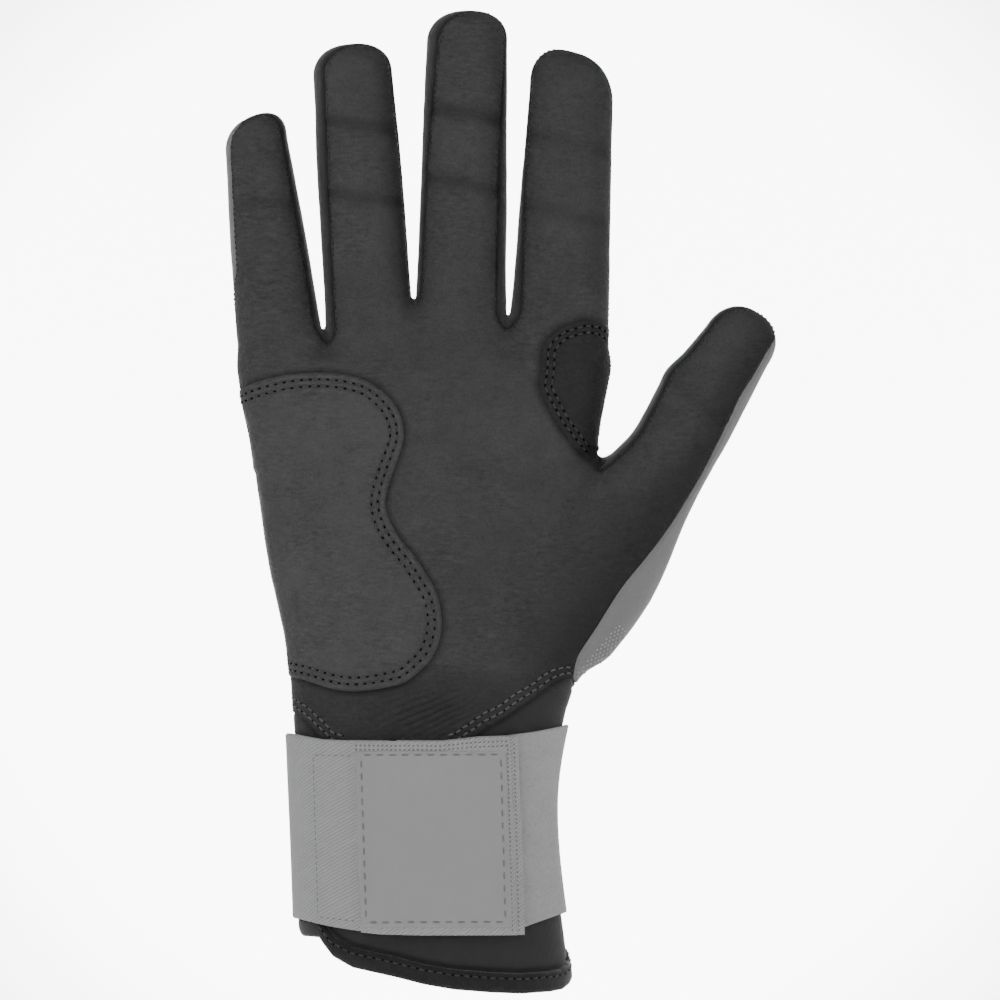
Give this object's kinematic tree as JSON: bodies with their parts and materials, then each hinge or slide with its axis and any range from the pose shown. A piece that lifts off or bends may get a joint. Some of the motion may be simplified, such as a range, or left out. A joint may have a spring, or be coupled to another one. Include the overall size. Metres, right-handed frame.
{
  "type": "batting glove",
  "caption": "Right-hand batting glove with a padded leather palm, bending fingers and a hook-and-loop wrist strap.",
  "frame": {"origin": "middle of the wrist opening, level with its lowest edge", "axes": "+Z from the wrist to the fingertips, +X towards the thumb, the palm faces -Y"},
  "size_m": [0.1472, 0.0408, 0.2602],
  "materials": {
    "palm_leather": "soft matt sheepskin grain",
    "patch_leather": "soft matt sheepskin grain, pressed",
    "pad_leather": "soft matt sheepskin grain",
    "side_fabric": "stretch knit",
    "back_fabric": "matt synthetic with rows of small raised dots",
    "cuff_neoprene": "thin foam sheet with a smooth knit face",
    "hem_binding": "ribbed elastic binding",
    "strap_elastic": "woven elastic with a diagonal rib",
    "loop_fabric": "brushed loop pile",
    "tab_fabric": "moulded soft tab, matt",
    "hook_fabric": "hook tape",
    "foam": "soft open foam"
  },
  "bodies": {
    "hand": {"palm_leather": "palm_leather", "hand_back": "back_fabric", "crotch_pinky_ring": "side_fabric", "crotch_ring_middle": "side_fabric", "crotch_middle_index": "side_fabric", "thumb_web_gusset": "side_fabric", "cuff_front": "cuff_neoprene", "hem_front": "hem_binding", "cuff_back": "cuff_neoprene", "hem_back": "hem_binding", "heel_pad_foam": "foam", "heel_pad_cover": "pad_leather", "web_patch": "patch_leather", "strap_loop_panel": "loop_fabric", "strap_back_band": "strap_elastic"},
    "pinky_lower": {"pinky_proximal_front": "palm_leather", "pinky_proximal_back": "back_fabric", "pinky_proximal_radial_side": "side_fabric"},
    "pinky_upper": {"pinky_distal_front": "palm_leather", "pinky_distal_back": "back_fabric", "pinky_distal_radial_side": "side_fabric"},
    "ring_lower": {"ring_proximal_front": "palm_leather", "ring_proximal_back": "back_fabric", "ring_proximal_ulnar_side": "side_fabric", "ring_proximal_radial_side": "side_fabric"},
    "ring_upper": {"ring_distal_front": "palm_leather", "ring_distal_back": "back_fabric", "ring_distal_ulnar_side": "side_fabric", "ring_distal_radial_side": "side_fabric"},
    "middle_lower": {"middle_proximal_front": "palm_leather", "middle_proximal_back": "back_fabric", "middle_proximal_ulnar_side": "side_fabric", "middle_proximal_radial_side": "side_fabric"},
    "middle_upper": {"middle_distal_front": "palm_leather", "middle_distal_back": "back_fabric", "middle_distal_ulnar_side": "side_fabric", "middle_distal_radial_side": "side_fabric"},
    "index_lower": {"index_proximal_front": "palm_leather", "index_proximal_back": "back_fabric", "index_proximal_ulnar_side": "side_fabric"},
    "index_upper": {"index_distal_front": "palm_leather", "index_distal_back": "back_fabric", "index_distal_ulnar_side": "side_fabric"},
    "thumb_lower": {"thumb_proximal_front": "palm_leather", "thumb_proximal_back": "back_fabric", "thumb_proximal_ulnar_side": "side_fabric"},
    "thumb_upper": {"thumb_distal_front": "palm_leather", "thumb_distal_back": "back_fabric", "thumb_distal_ulnar_side": "side_fabric"},
    "strap": {"strap_elastic": "strap_elastic"},
    "tab": {"strap_tab": "tab_fabric", "tab_edge_tape": "hook_fabric", "hook_pad": "hook_fabric"}
  },
  "joints": [
    {"name": "pinky_base", "type": "hinge", "parent": "hand", "child": "pinky_lower", "pos_m": [-0.0408, -0.00915, 0.1749], "axis": [0.9936, 0, 0.1132], "range_deg": [0, 85]},
    {"name": "pinky_middle", "type": "hinge", "parent": "pinky_lower", "child": "pinky_upper", "pos_m": [-0.04362, -0.00915, 0.19968], "axis": [0.9936, 0, 0.1132], "range_deg": [0, 95]},
    {"name": "ring_base", "type": "hinge", "parent": "hand", "child": "ring_lower", "pos_m": [-0.0168, -0.01005, 0.1838], "axis": [0.998, 0, 0.0628], "range_deg": [0, 85]},
    {"name": "ring_middle", "type": "hinge", "parent": "ring_lower", "child": "ring_upper", "pos_m": [-0.01863, -0.01051, 0.2129], "axis": [0.998, 0, 0.0628], "range_deg": [0, 95]},
    {"name": "middle_base", "type": "hinge", "parent": "hand", "child": "middle_lower", "pos_m": [0.0084, -0.01005, 0.1841], "axis": [0.9997, 0, -0.0244], "range_deg": [0, 85]},
    {"name": "middle_middle", "type": "hinge", "parent": "middle_lower", "child": "middle_upper", "pos_m": [0.0092, -0.01076, 0.21677], "axis": [0.9997, 0, -0.0244], "range_deg": [0, 95]},
    {"name": "index_base", "type": "hinge", "parent": "hand", "child": "index_lower", "pos_m": [0.0351, -0.01005, 0.1795], "axis": [0.9988, 0, -0.0489], "range_deg": [0, 85]},
    {"name": "index_middle", "type": "hinge", "parent": "index_lower", "child": "index_upper", "pos_m": [0.03657, -0.01057, 0.20956], "axis": [0.9988, 0, -0.0489], "range_deg": [0, 95]},
    {"name": "thumb_base", "type": "hinge", "parent": "hand", "child": "thumb_lower", "pos_m": [0.0587, -0.01314, 0.1343], "axis": [0.8387, 0, -0.5446], "range_deg": [0, 50]},
    {"name": "thumb_middle", "type": "hinge", "parent": "thumb_lower", "child": "thumb_upper", "pos_m": [0.07223, -0.01234, 0.15513], "axis": [0.8387, 0, -0.5446], "range_deg": [0, 75]},
    {"name": "strap_swing", "type": "hinge", "parent": "hand", "child": "strap", "pos_m": [-0.03894, 0, 0.017], "axis": [0, 0, -1], "range_deg": [0, 120]},
    {"name": "tab_peel", "type": "hinge", "parent": "strap", "child": "tab", "pos_m": [-0.0192, -0.01937, 0.017], "axis": [0, 0, -1], "range_deg": [0, 120]}
  ]
}
